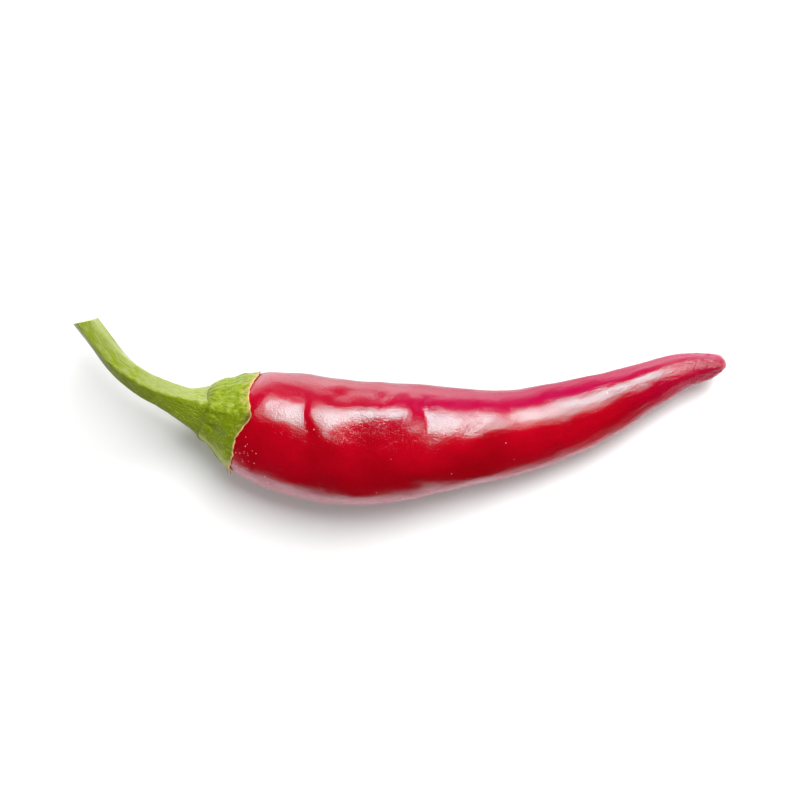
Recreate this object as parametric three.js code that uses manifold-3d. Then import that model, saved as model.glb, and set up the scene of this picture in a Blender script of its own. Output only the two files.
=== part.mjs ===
// A red chilli pepper lying on its side: the pod, the calyx that caps its shoulder, and the cut stem.
//
// Millimetres, +Z up. The pod runs along +X from its shoulder to its tip and rests on z = 0, and the
// stem leaves the shoulder towards -X. The origin is on that surface, under the middle of the whole
// chilli. All three pieces are turned round one curved spine, which runs from the stem's cut to the
// tip. A place on the spine is given by its x, and an angle round it is 0 at the top and grows
// towards +Y.

import * as THREE from "three";
import { mergeVertices } from "three/addons/utils/BufferGeometryUtils.js";
import Module from "manifold-3d";

// The spine: its x, how far it lies to the side, and its height. The first point is past the cut.
const SPINE = [
  [-66, 25.86, 17.1],
  [-60, 19.25, 15.95],
  [-56, 13.97, 14.95],
  [-52, 8.79, 13.8],
  [-48, 5.39, 12.55],
  [-44, 3.19, 11.25],
  [-40, 1.43, 10.1],
  [-36, 0.3, 9.3],
  [-28, -2.2, 9],
  [-20, -3.99, 9.2],
  [-12, -5.41, 9.33],
  [-4, -5.68, 9.08],
  [4, -5.18, 8.4],
  [12, -4.63, 7.6],
  [20, -3.76, 6.95],
  [28, -1.83, 6.6],
  [36, 0.82, 6.2],
  [44, 4.27, 5.8],
  [52, 7.49, 5.45],
  [61, 8.92, 5.2],
];

// The pod's half width at places along the spine, before its two ends are rounded off.
const POD_HALF_WIDTH = [
  [-36, 5.25],
  [-34, 6.0],
  [-32, 7.45],
  [-30, 8.75],
  [-28, 9.7],
  [-25, 10.45],
  [-20, 11.25],
  [-12, 11.45],
  [-4, 11.15],
  [4, 10.35],
  [12, 9.05],
  [20, 7.95],
  [28, 7.15],
  [36, 6.15],
  [44, 4.65],
  [52, 3.3],
  [61, 1.6],
];
const POD_SHOULDER = -36;
const POD_TIP = 60.06;
const SHOULDER_DOME = 4;
const TIP_DOME = 1.6;
const POD_RINGS = 58;
const POD_SIDES = 44;

// How high a section of the pod is, as a share of its width.
const HEIGHT_SHARE = [
  [-38, 1],
  [-30, 0.88],
  [-20, 0.86],
  [2, 0.86],
  [12, 0.885],
  [22, 0.865],
  [36, 0.86],
  [50, 0.92],
  [61, 0.96],
];

// The pod's outside swells into three shallow lobes, one for each seed chamber.
const LOBES = 3;
const LOBE_SHARE = 0.012;
const LOBE_TURN = THREE.MathUtils.degToRad(20);

// The calyx: a cap on the shoulder, from its neck to its thin rim, with a short tooth for each sepal.
// It leans a little: its radius is given towards +Y and towards -Y. A tooth has the angle of its
// middle, in degrees, and how far it reaches past the rim.
const CALYX_RADIUS = [
  [-37.4, 3.75, 4.5],
  [-36.8, 4.4, 4.95],
  [-35.6, 5.75, 5.6],
  [-33.8, 7.0, 6.5],
  [-31.8, 8.4, 8.0],
  [-30.4, 9.0, 9.0],
];
const RIM_THICKNESS = 0.3;
const TEETH = [[88, 0.8], [4, 1.4], [-82, 0.8], [-142, 0.8], [152, 0.8]];
const TOOTH_HALF_ANGLE = THREE.MathUtils.degToRad(26);
const CALYX_RINGS = 12;
const CALYX_SIDES = 60;

// The stem: its radius along the spine, flaring where it meets the calyx, with five blunt ridges.
const STEM_RADIUS = [
  [-62, 2.2],
  [-55, 2.05],
  [-50, 2.15],
  [-45, 2.4],
  [-42, 2.7],
  [-39.5, 3.25],
  [-37.6, 3.95],
];
const STEM_RIDGES = 5;
const STEM_RIDGE_SHARE = 0.05;
const STEM_RIDGE_TURN = THREE.MathUtils.degToRad(-8);
const STEM_RINGS = 26;
const STEM_SIDES = 30;

// The stem was snipped off at a slant: a point on the cut, and the way that the cut faces.
const CUT_POINT = new THREE.Vector3(-57.78, 16.54, 15.6);
const CUT_FACING = new THREE.Vector3(-0.21, 0.97, 0.14).normalize();
const CUTTER_SIZE = 16;

// The clearance that keeps neighbouring solids apart.
const GAP = 0.3;

const wasm = await Module();
wasm.setup();

/** A smooth function of x through rows that each hold an x and one or more values. */
function smoothThrough(rows) {
  const places = rows.map(([x]) => x);
  const values = rows.flatMap(([, ...rest]) => rest);
  const curve = new THREE.CubicInterpolant(places, values, rows[0].length - 1);
  return (x) => curve.evaluate(x);
}

const spineAt = smoothThrough(SPINE);
const podWidthAt = smoothThrough(POD_HALF_WIDTH);
const heightShareAt = smoothThrough(HEIGHT_SHARE);
const calyxRadiusAt = smoothThrough(CALYX_RADIUS);
const stemRadiusAt = smoothThrough(STEM_RADIUS);

function spinePoint(x) {
  const [side, height] = spineAt(x);
  return new THREE.Vector3(x, side, height);
}

/** The spine at x: the point, and the two directions that span the section there. */
function spineFrame(x) {
  const reach = 0.05;
  const along = spinePoint(x + reach).sub(spinePoint(x - reach)).normalize();
  const across = new THREE.Vector3(0, 0, 1).cross(along).normalize();
  const up = along.clone().cross(across);
  return { point: spinePoint(x), across, up };
}

/**
 * A lathe shape turned round the y axis, moved on to the spine. A profile's y becomes the place on
 * the spine. shape(place, angle, radius) gives each vertex its place, its radius and the share of
 * that radius that counts upwards. Nothing goes below the surface that the chilli rests on.
 */
function bendOnSpine(profile, sides, shape) {
  const lathe = new THREE.LatheGeometry(profile, sides);
  const vertices = lathe.getAttribute("position");
  for (let i = 0; i < vertices.count; i++) {
    const across = vertices.getX(i);
    const up = vertices.getZ(i);
    const angle = Math.atan2(across, up);
    const { place, radius, heightShare } = shape(vertices.getY(i), angle, Math.hypot(across, up));
    const frame = spineFrame(place);
    const point = frame.point
      .addScaledVector(frame.across, radius * Math.sin(angle))
      .addScaledVector(frame.up, radius * Math.cos(angle) * heightShare);
    vertices.setXYZ(i, point.x, point.y, Math.max(point.z, 0));
  }
  return welded(lathe);
}

/** The same surface with only positions, and one vertex wherever several meet. */
function welded(geometry) {
  geometry.deleteAttribute("normal");
  geometry.deleteAttribute("uv");
  return mergeVertices(geometry, 1e-3);
}

/** What a rounded end leaves of the full width, at a distance from where the rounding starts. */
const domeShare = (distance, length) => Math.sqrt(Math.max(0, 1 - Math.max(0, distance / length) ** 2));

/** The pod's half width at a place on the spine, with its shoulder and its tip rounded off. */
function podRadius(x) {
  const shoulder = domeShare(POD_SHOULDER + SHOULDER_DOME - x, SHOULDER_DOME);
  const tip = domeShare(x - POD_TIP + TIP_DOME, TIP_DOME);
  return podWidthAt(x)[0] * shoulder * tip;
}

/** The pod's section: a little lower than it is wide, with its shallow lobes. */
function podSection(place, angle, radius) {
  const lobes = 1 + LOBE_SHARE * Math.cos(LOBES * (angle - LOBE_TURN));
  return { place, radius: radius * lobes, heightShare: heightShareAt(place)[0] };
}

/** The pod: rings closer together towards its two rounded ends. */
function podGeometry() {
  const profile = [];
  for (let i = POD_RINGS; i >= 0; i--) {
    const eased = (1 - Math.cos((Math.PI * i) / POD_RINGS)) / 2;
    const x = THREE.MathUtils.lerp(POD_SHOULDER, POD_TIP, eased);
    profile.push(new THREE.Vector2(podRadius(x), x));
  }
  return bendOnSpine(profile, POD_SIDES, podSection);
}

/** How far the calyx reaches past its rim at an angle: each tooth is a rounded peak. */
function toothReach(angle) {
  const reaches = TEETH.map(([degrees, reach]) => {
    const turn = angle - THREE.MathUtils.degToRad(degrees);
    const apart = Math.abs(Math.atan2(Math.sin(turn), Math.cos(turn)));
    return reach * Math.max(0, 1 - apart / TOOTH_HALF_ANGLE) ** 1.5;
  });
  return Math.max(...reaches);
}

/** How far the calyx's inside is from the spine: the pod and the clearance. */
const calyxInside = (x) => podRadius(x) + GAP;

/** How far the calyx's outside is from the spine. The shell is nowhere thinner than its rim. */
function calyxOutside(x, angle) {
  const [near, far] = calyxRadiusAt(x);
  const radius = (near + far) / 2 + ((near - far) / 2) * Math.sin(angle);
  return Math.max(radius, calyxInside(x) + RIM_THICKNESS);
}

/** The calyx: a closed shell whose inside follows the pod at the clearance. */
function calyxGeometry() {
  const neck = CALYX_RADIUS[0][0];
  const rim = CALYX_RADIUS.at(-1)[0];
  const crown = POD_SHOULDER - GAP;
  const outside = [];
  const inside = [];
  for (let i = 0; i <= CALYX_RINGS; i++) {
    const x = THREE.MathUtils.lerp(neck, rim, i / CALYX_RINGS);
    outside.push(new THREE.Vector2(calyxOutside(x, 0), x));
  }
  for (let i = CALYX_RINGS; i > 0; i--) {
    const x = THREE.MathUtils.lerp(crown, rim, (i / CALYX_RINGS) ** 1.6);
    inside.push(new THREE.Vector2(calyxInside(x), x));
  }
  const profile = [new THREE.Vector2(0, neck), ...outside, ...inside, new THREE.Vector2(0, crown)];
  return bendOnSpine(profile.reverse(), CALYX_SIDES, (place, angle, radius) => {
    const isOutside = radius > calyxInside(place) + RIM_THICKNESS / 2;
    const turned = isOutside ? calyxOutside(place, angle) : radius;
    const share = THREE.MathUtils.clamp((place - neck) / (rim - neck), 0, 1);
    const moved = place + toothReach(angle) * share ** 3;
    return podSection(moved, angle, turned + podRadius(moved) - podRadius(place));
  });
}

/** The stem: a ridged rod that is longer than it should be, less all that was snipped off. */
function stemGeometry() {
  const root = CALYX_RADIUS[0][0] - GAP;
  const end = STEM_RADIUS[0][0];
  const profile = [new THREE.Vector2(0, end)];
  for (let i = 0; i <= STEM_RINGS; i++) {
    const x = THREE.MathUtils.lerp(end, root, i / STEM_RINGS);
    profile.push(new THREE.Vector2(stemRadiusAt(x)[0], x));
  }
  profile.push(new THREE.Vector2(0, root));
  const rod = bendOnSpine(profile.reverse(), STEM_SIDES, (place, angle, radius) => {
    const ridges = 1 + STEM_RIDGE_SHARE * Math.cos(STEM_RIDGES * (angle - STEM_RIDGE_TURN));
    return { place, radius: radius * ridges, heightShare: 1 };
  });
  return fromSolid(solidOf(rod).subtract(solidOf(cutterGeometry())));
}

/** A block that holds all that was snipped off the stem, with one face on the cut. */
function cutterGeometry() {
  const block = new THREE.BoxGeometry(CUTTER_SIZE, CUTTER_SIZE, CUTTER_SIZE);
  const turn = new THREE.Quaternion().setFromUnitVectors(new THREE.Vector3(0, 0, 1), CUT_FACING);
  const middle = CUT_POINT.clone().addScaledVector(CUT_FACING, CUTTER_SIZE / 2);
  block.applyQuaternion(turn).translate(middle.x, middle.y, middle.z);
  return welded(block);
}

function solidOf(geometry) {
  return new wasm.Manifold(new wasm.Mesh({
    numProp: 3,
    vertProperties: geometry.getAttribute("position").array,
    triVerts: new Uint32Array(geometry.index.array),
  }));
}

function fromSolid(solid) {
  const mesh = solid.getMesh();
  return new THREE.BufferGeometry()
    .setAttribute("position", new THREE.BufferAttribute(mesh.vertProperties, 3))
    .setIndex(new THREE.BufferAttribute(mesh.triVerts, 1));
}

function piece(name, geometry, color, roughness) {
  geometry.computeVertexNormals();
  const material = new THREE.MeshStandardMaterial({ color, roughness, metalness: 0 });
  const mesh = new THREE.Mesh(geometry, material);
  mesh.name = name;
  return mesh;
}

const chilli = new THREE.Group();
chilli.add(
  piece("pod", podGeometry(), 0xbe021e, 0.25),
  piece("calyx", calyxGeometry(), 0x7fa02c, 0.6),
  piece("stem", stemGeometry(), 0x9bb43c, 0.55),
);

export default chilli;
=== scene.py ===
"""A red chilli pepper lying on its side, as a finished and lit model.

The pod, the calyx and the stem are fine meshes that stand for the plain solids of the frame. All three
are turned round one curved spine. Lengths are in millimetres until a mesh is made, and then in metres.
A place on the spine is given by its x, and an angle round it is 0 at the top and grows towards +Y.
"""

import logging
import math
from dataclasses import dataclass, field
from enum import Enum
from typing import Any

import bpy
import numpy as np
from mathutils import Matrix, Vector


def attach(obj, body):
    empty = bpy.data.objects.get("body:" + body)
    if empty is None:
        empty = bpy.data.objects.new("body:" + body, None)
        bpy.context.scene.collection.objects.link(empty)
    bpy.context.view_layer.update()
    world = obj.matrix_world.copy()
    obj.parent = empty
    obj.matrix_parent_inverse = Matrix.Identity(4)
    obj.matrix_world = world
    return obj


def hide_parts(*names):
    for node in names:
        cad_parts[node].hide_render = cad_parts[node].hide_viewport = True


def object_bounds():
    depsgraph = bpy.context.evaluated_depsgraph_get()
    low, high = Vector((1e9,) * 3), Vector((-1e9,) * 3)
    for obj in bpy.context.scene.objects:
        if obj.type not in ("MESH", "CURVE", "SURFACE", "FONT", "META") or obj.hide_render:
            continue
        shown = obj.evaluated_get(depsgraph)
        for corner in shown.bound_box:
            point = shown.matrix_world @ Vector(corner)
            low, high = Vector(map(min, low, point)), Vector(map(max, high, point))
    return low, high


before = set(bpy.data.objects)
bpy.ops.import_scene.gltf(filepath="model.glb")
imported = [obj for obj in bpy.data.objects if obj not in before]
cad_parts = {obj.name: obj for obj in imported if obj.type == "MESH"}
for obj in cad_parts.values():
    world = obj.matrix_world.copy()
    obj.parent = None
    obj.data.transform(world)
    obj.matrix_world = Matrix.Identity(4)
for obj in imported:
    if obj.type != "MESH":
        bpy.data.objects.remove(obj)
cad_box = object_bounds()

log = logging.getLogger("chilli")

MM = 0.001
BODY = "root"

Colour = tuple[float, float, float, float]
Place = tuple[float, float, float]
Span = tuple[float, float]
Rows = tuple[tuple[float, ...], ...]
Faces = list[tuple[int, ...]]
Socket = bpy.types.NodeSocket

WHITE: Colour = (1.0, 1.0, 1.0, 1.0)


# --- Smooth functions ---


def wrap_degrees(angle: np.ndarray) -> np.ndarray:
    """Brings angles in degrees into the range from -180 to 180."""
    return (angle + 180.0) % 360.0 - 180.0


def bell(distance: np.ndarray) -> np.ndarray:
    """A smooth bump that is 1 at distance 0 and almost nothing past 2."""
    return np.exp(-distance**2)


def smoothstep(low: float, high: float, value: np.ndarray) -> np.ndarray:
    """Rises smoothly from 0 at low to 1 at high."""
    share = np.clip((value - low) / (high - low), 0.0, 1.0)
    return share * share * (3.0 - 2.0 * share)


@dataclass(frozen=True)
class SmoothRows:
    """A smooth function through rows that each hold a place and one or more values.

    Args:
        rows: The rows, in rising order of place.
        period: Where the function repeats, or 0 for one that doesn't.
    """

    rows: Rows
    period: float = 0.0

    def at(self, place: np.ndarray) -> np.ndarray:
        """The values at places.

        Args:
            place: Places, in an array of any shape.

        Returns:
            An array with one more axis, which holds each row's values.
        """
        table = np.array(self.rows, float)
        if self.period:
            shift = np.zeros(table.shape[1])
            shift[0] = self.period
            table = np.vstack([table[-2:] - shift, table, table[:2] + shift])
            place = (place - self.rows[0][0]) % self.period + self.rows[0][0]
        x, values = table[:, 0], table[:, 1:]
        slope = np.empty_like(values)
        slope[1:-1] = (values[2:] - values[:-2]) / (x[2:] - x[:-2])[:, None]
        slope[0] = (values[1] - values[0]) / (x[1] - x[0])
        slope[-1] = (values[-1] - values[-2]) / (x[-1] - x[-2])
        place = np.clip(place, x[0], x[-1])
        i = np.clip(np.searchsorted(x, place, side="right") - 1, 0, len(x) - 2)
        step = (x[i + 1] - x[i])[..., None]
        t = (place - x[i])[..., None] / step
        return (
            values[i] * (1 + 2 * t) * (1 - t) ** 2
            + slope[i] * step * t * (1 - t) ** 2
            + values[i + 1] * t**2 * (3 - 2 * t)
            + slope[i + 1] * step * t**2 * (t - 1)
        )


@dataclass(frozen=True)
class Ripple:
    """Seeded waves over a surface that is given by a place in mm and an angle in degrees.

    Args:
        seed: Fixes the waves' phases and directions.
        wavelength: The middle wavelength, in mm.
        height: The height of each wave, in mm.
        waves: How many waves are added up.
        girth: The width of the surface round the spine, in mm, that 360 degrees stand for.
    """

    seed: int
    wavelength: float
    height: float
    waves: int = 9
    girth: float = 60.0

    def at(self, x: np.ndarray, angle: np.ndarray) -> np.ndarray:
        """The height of the waves.

        Args:
            x: Places on the spine.
            angle: Angles round it, in degrees.

        Returns:
            Heights, in mm.
        """
        shortest, longest = 0.6, 1.6
        rng = np.random.default_rng(self.seed)
        total = np.zeros(np.broadcast(x, angle).shape)
        for _ in range(self.waves):
            length = self.wavelength * rng.uniform(shortest, longest)
            heading = rng.uniform(0.0, math.pi)
            phase = rng.uniform(0.0, 2.0 * math.pi)
            along = 2.0 * math.pi * math.cos(heading) / length
            turns = round(self.girth * math.sin(heading) / length)
            total += np.sin(along * x + turns * np.radians(angle) + phase)
        return self.height * total / math.sqrt(self.waves)


@dataclass(frozen=True)
class Swelling:
    """A soft bump on a surface, or a dent where its height is negative.

    Args:
        x: The place of its middle along the spine, in mm.
        angle: The angle of its middle, in degrees.
        length: Its half length along the spine, in mm.
        width: Its half width round the spine, in degrees.
        height: How far it stands out, in mm.
        lean: How far its middle moves along the spine, in mm, for each degree round it.
        after: Its half length past its middle, in mm, where that is another one.
    """

    x: float
    angle: float
    length: float
    width: float
    height: float
    lean: float = 0.0
    after: float = 0.0

    def at(self, x: np.ndarray, angle: np.ndarray) -> np.ndarray:
        """The height at places x and angles."""
        turn = wrap_degrees(angle - self.angle)
        away = x - self.x - self.lean * turn
        reach = np.where(away > 0.0, self.after or self.length, self.length)
        return self.height * bell(away / reach) * bell(turn / self.width)


# --- The spine and what is turned round it ---


@dataclass(frozen=True)
class Spine:
    """The curve that the whole chilli follows, from past the stem's cut to the pod's tip.

    Args:
        rows: Its x, how far it lies to the side, and its height, in mm.
    """

    rows: Rows = (
        (-66.0, 25.86, 17.1), (-60.0, 19.25, 15.95), (-56.0, 13.97, 14.95), (-52.0, 8.79, 13.8),
        (-48.0, 5.39, 12.55), (-44.0, 3.19, 11.25), (-40.0, 1.43, 10.1), (-36.0, 0.3, 9.3),
        (-28.0, -2.2, 9.0), (-20.0, -3.99, 9.2), (-12.0, -5.41, 9.33), (-4.0, -5.68, 9.08),
        (4.0, -5.18, 8.4), (12.0, -4.63, 7.6), (20.0, -3.76, 6.95), (28.0, -1.83, 6.6),
        (36.0, 0.82, 6.2), (44.0, 4.27, 5.8), (52.0, 7.49, 5.45), (61.0, 8.92, 5.2),
    )

    def point(self, x: np.ndarray) -> np.ndarray:
        """The spine's points at places x."""
        return np.concatenate([np.asarray(x, float)[..., None], SmoothRows(self.rows).at(x)], axis=-1)

    def directions(self, x: np.ndarray) -> tuple[np.ndarray, np.ndarray, np.ndarray]:
        """The directions along the spine, across it and up from it.

        Args:
            x: Places on the spine.

        Returns:
            Three arrays of unit vectors. Across points towards +Y.
        """
        reach = 0.05
        along = self.point(x + reach) - self.point(x - reach)
        along /= np.linalg.norm(along, axis=-1, keepdims=True)
        across = np.cross(np.array([0.0, 0.0, 1.0]), along)
        across /= np.linalg.norm(across, axis=-1, keepdims=True)
        return along, across, np.cross(along, across)

    def surface(
        self, x: np.ndarray, angle: np.ndarray, radius: np.ndarray, upwards: np.ndarray
    ) -> np.ndarray:
        """Points round the spine.

        Args:
            x: Places on the spine.
            angle: Angles round it, in degrees.
            radius: Distances from it, in mm.
            upwards: The share of the distance that counts upwards.

        Returns:
            The points, in mm, none lower than the surface that the chilli lies on.
        """
        _, across, up = self.directions(x)
        turn = np.radians(angle)[..., None]
        out = np.asarray(radius)[..., None]
        points = self.point(x) + across * (out * np.sin(turn)) + up * (out * np.cos(turn) * upwards)
        points[..., 2] = np.maximum(points[..., 2], 0.0)
        return points


def add_object(name: str, data: bpy.types.ID) -> bpy.types.Object:
    """Adds an object that shows a mesh, a curve, a light or a camera, at the origin."""
    thing = bpy.data.objects.new(name, data)
    bpy.context.scene.collection.objects.link(thing)
    return thing


def make_object(name: str, vertices: np.ndarray, faces: Faces) -> bpy.types.Object:
    """Makes a smooth-shaded mesh object at the origin.

    Args:
        name: The name of the object and its mesh.
        vertices: The vertices, in mm.
        faces: The faces, each with its corners in order.

    Returns:
        The object, linked to the scene.
    """
    mesh = bpy.data.meshes.new(name)
    mesh.from_pydata((vertices * MM).tolist(), [], faces)
    mesh.shade_smooth()
    mesh.update()
    return add_object(name, mesh)


def closed_grid_faces(rings: int, sides: int) -> Faces:
    """Faces of a closed skin: a pole, rings of vertices that each close on themselves, and a pole.

    Args:
        rings: How many rings there are between the poles.
        sides: How many vertices a ring has.

    Returns:
        The faces. Vertex 0 is the first pole, and the last vertex is the second one.
    """
    here = np.arange(sides)
    after = (here + 1) % sides
    last = rings * sides + 1
    faces = [(0, 1 + int(a), 1 + int(b)) for a, b in zip(here, after)]
    for ring in range(rings - 1):
        near, far = 1 + ring * sides, 1 + (ring + 1) * sides
        faces += [(near + int(a), far + int(a), far + int(b), near + int(b)) for a, b in zip(here, after)]
    base = 1 + (rings - 1) * sides
    faces += [(base + int(b), base + int(a), last) for a, b in zip(here, after)]
    return faces


def closed_skin(rings: np.ndarray, spine: Spine, first: float, last: float) -> tuple[np.ndarray, Faces]:
    """Closes a grid of points into a skin with a pole on the spine at each end.

    Args:
        rings: The points, as rings by sides by 3.
        spine: The spine.
        first: Where on the spine the pole before the first ring is.
        last: Where the pole after the last ring is.

    Returns:
        The vertices, which start and end with the poles, and the faces.
    """
    poles = spine.point(np.array([first, last]))
    vertices = np.vstack([poles[:1], rings.reshape(-1, 3), poles[1:]])
    return vertices, closed_grid_faces(*rings.shape[:2])


def with_poles(values: np.ndarray, first: float = 0.0, last: float = 0.0) -> np.ndarray:
    """One value for each vertex of a closed skin, from those of its rings and its two poles."""
    return np.concatenate([[first], values.ravel(), [last]])


def even_turns(sides: int) -> np.ndarray:
    """The angles of the vertices of a ring, in degrees."""
    return np.arange(sides) * 360.0 / sides


def store_attribute(piece: bpy.types.Object, name: str, values: np.ndarray) -> None:
    """Stores one number, or one vector, for each vertex of a piece, for its material to read."""
    if values.ndim == 2:
        attribute = piece.data.attributes.new(name, "FLOAT_VECTOR", "POINT")
        attribute.data.foreach_set("vector", values.astype(np.float32).ravel())
    else:
        attribute = piece.data.attributes.new(name, "FLOAT", "POINT")
        attribute.data.foreach_set("value", values.astype(np.float32))


def fibre_places(x: np.ndarray, angle: np.ndarray) -> np.ndarray:
    """Places in a texture that is drawn out along the spine, for fibres.

    Args:
        x: Places on the spine.
        angle: Angles round it, in degrees.

    Returns:
        The places, in mm, with one more axis.
    """
    girth, shortened = 4.0, 0.36
    turn = np.radians(angle)
    return np.stack([girth * np.cos(turn), girth * np.sin(turn), shortened * x], axis=-1)


# --- Node building ---


class Kind(Enum):
    """The kinds of socket that the node groups have."""

    FLOAT = "NodeSocketFloat"
    INTEGER = "NodeSocketInt"
    VECTOR = "NodeSocketVector"
    GEOMETRY = "NodeSocketGeometry"
    MATERIAL = "NodeSocketMaterial"


class NodeSketch:
    """Adds nodes to a tree, and links them as they are added."""

    column_width: float = 180.0
    colour_mix_inputs: tuple[int, int, int] = (0, 6, 7)
    colour_mix_output: int = 2

    def __init__(self, tree: bpy.types.NodeTree) -> None:
        """Starts on a tree, which is emptied."""
        self.tree = tree
        tree.nodes.clear()

    def feed(self, socket: Socket, value: Any) -> None:
        """Links another node's output to a socket, or sets the socket's own value."""
        if isinstance(value, Socket):
            self.tree.links.new(value, socket)
        else:
            socket.default_value = value

    def add(self, kind: str, inputs: dict[str | int, Any] | None = None, **settings: Any) -> bpy.types.Node:
        """Adds a node.

        Args:
            kind: The node's type.
            inputs: What goes into its sockets, by name or number: another node's output or a value.
            **settings: The node's own properties.

        Returns:
            The node.
        """
        node = self.tree.nodes.new(kind)
        node.location.x = self.column_width * len(self.tree.nodes)
        for name, value in settings.items():
            setattr(node, name, value)
        for key, value in (inputs or {}).items():
            self.feed(node.inputs[key], value)
        return node

    def first(self, kind: str, inputs: dict[str | int, Any] | None = None, **settings: Any) -> Socket:
        """Adds a node as add does, and returns its first output."""
        return self.add(kind, inputs, **settings).outputs[0]

    def math(self, operation: str, *values: Any) -> Socket:
        """Adds a Math node and returns its result."""
        return self.first("ShaderNodeMath", dict(enumerate(values)), operation=operation)

    def vector(self, operation: str, *values: Any) -> Socket:
        """Adds a Vector Math node and returns its vector."""
        return self.first("ShaderNodeVectorMath", dict(enumerate(values)), operation=operation)

    def length(self, vector: Any) -> Socket:
        """The length of a vector."""
        return self.add("ShaderNodeVectorMath", {0: vector}, operation="LENGTH").outputs["Value"]

    def combine(self, x: Any, y: Any, z: Any = 0.0) -> Socket:
        """A vector with the given parts."""
        return self.first("ShaderNodeCombineXYZ", {0: x, 1: y, 2: z})

    def ramp(self, value: Any, source: Span, target: tuple[Any, Any] = (0.0, 1.0)) -> Socket:
        """Maps a value smoothly from one span of numbers on to another.

        Args:
            value: The value.
            source: Where the ramp starts and ends. The start may be the larger one.
            target: The results there.

        Returns:
            The result, which stays the same past either end.
        """
        ends = {"From Min": source[0], "From Max": source[1], "To Min": target[0], "To Max": target[1]}
        return self.first("ShaderNodeMapRange", {"Value": value, **ends}, interpolation_type="SMOOTHSTEP")

    def blend(self, share: Any, first: Any, second: Any) -> Socket:
        """Blends two colours.

        Args:
            share: How much of the second colour there is, from 0 to 1.
            first: The first colour.
            second: The second colour.

        Returns:
            The blended colour.
        """
        node = self.add("ShaderNodeMix", data_type="RGBA", blend_type="MIX", clamp_factor=True)
        for number, value in zip(self.colour_mix_inputs, (share, first, second)):
            self.feed(node.inputs[number], value)
        return node.outputs[self.colour_mix_output]

    def bump(self, height: Any, distance: float) -> Socket:
        """The normal of a surface with a height from 0 to 1, where 1 stands for a distance in mm."""
        inputs = {"Strength": 1.0, "Distance": distance * MM, "Height": height}
        return self.first("ShaderNodeBump", inputs)

    def surface(
        self, colour: Any, roughness: Any, index: float = 1.5, glint: Colour = WHITE, normal: Any = None
    ) -> None:
        """Adds a Principled shader as the surface of a material.

        Args:
            colour: Its base colour.
            roughness: Its roughness.
            index: Its index of refraction.
            glint: The tint of what it mirrors face on.
            normal: Its normal, or None for the mesh's own.
        """
        inputs = {"Base Color": colour, "Roughness": roughness, "IOR": index, "Specular Tint": glint}
        if normal:
            inputs["Normal"] = normal
        shader = self.add("ShaderNodeBsdfPrincipled", inputs)
        self.add("ShaderNodeOutputMaterial", {"Surface": shader.outputs[0]})

    def either(self, share: Any, first: bpy.types.Node, second: bpy.types.Node) -> bpy.types.Node:
        """Mixes two shaders, by the share of the second one."""
        return self.add("ShaderNodeMixShader", {0: share, 1: first.outputs[0], 2: second.outputs[0]})


class GeometrySketch(NodeSketch):
    """Adds nodes to a tree that makes geometry."""

    def stored(self, name: str) -> Socket:
        """The number that the geometry stores under a name."""
        return self.first("GeometryNodeInputNamedAttribute", {"Name": name}, data_type="FLOAT")

    def store(self, geometry: Any, name: str, value: Any) -> Socket:
        """Stores a number for each point of a geometry under a name, and returns the geometry."""
        inputs = {"Geometry": geometry, "Name": name, "Value": value}
        return self.first("GeometryNodeStoreNamedAttribute", inputs, data_type="FLOAT", domain="POINT")

    def deliver(self, geometry: Any, material: Any) -> None:
        """Ends the tree with a geometry: makes its instances real and gives it its material."""
        whole = self.first("GeometryNodeRealizeInstances", {"Geometry": geometry})
        dressed = self.first("GeometryNodeSetMaterial", {"Geometry": whole, "Material": material})
        self.add("NodeGroupOutput", {0: dressed})


def new_group(
    name: str, kind: str, inputs: dict[str, Kind], outputs: dict[str, Kind]
) -> bpy.types.NodeTree:
    """Makes a node group with its sockets.

    Args:
        name: The group's name.
        kind: The type of its tree.
        inputs: Each input's kind.
        outputs: Each output's kind.

    Returns:
        The group's tree, with no nodes yet.
    """
    tree = bpy.data.node_groups.new(name, kind)
    for direction, sockets in (("INPUT", inputs), ("OUTPUT", outputs)):
        for label, socket in sockets.items():
            tree.interface.new_socket(label, in_out=direction, socket_type=socket.value)
    return tree


class Effect:
    """A shader node group that more than one material uses. It gives one number for each place."""

    def __init__(self, name: str, settings: tuple[str, ...], result: str) -> None:
        """Makes the group's sockets.

        Args:
            name: The group's name.
            settings: The names of its inputs, besides the place.
            result: The name of its output.
        """
        inputs = {"Place": Kind.VECTOR} | {label: Kind.FLOAT for label in settings}
        self.result = result
        self.sketch = NodeSketch(new_group(name, "ShaderNodeTree", inputs, {result: Kind.FLOAT}))
        self.inside = self.sketch.add("NodeGroupInput").outputs

    def finish(self, value: Socket) -> None:
        """Links the group's output."""
        self.sketch.add("NodeGroupOutput", {self.result: value})

    def put(self, sketch: NodeSketch, inputs: dict[str | int, Any]) -> Socket:
        """Puts the group in a material.

        Args:
            sketch: The material's sketch.
            inputs: What goes into the group.

        Returns:
            The group's result.
        """
        return sketch.add("ShaderNodeGroup", inputs, node_tree=self.sketch.tree).outputs[self.result]


def metres_to_mm(sketch: NodeSketch) -> Socket:
    """Object coordinates in millimetres."""
    place = sketch.add("ShaderNodeTexCoord").outputs["Object"]
    return sketch.first("ShaderNodeMapping", {"Vector": place, "Scale": (1.0 / MM,) * 3})


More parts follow.
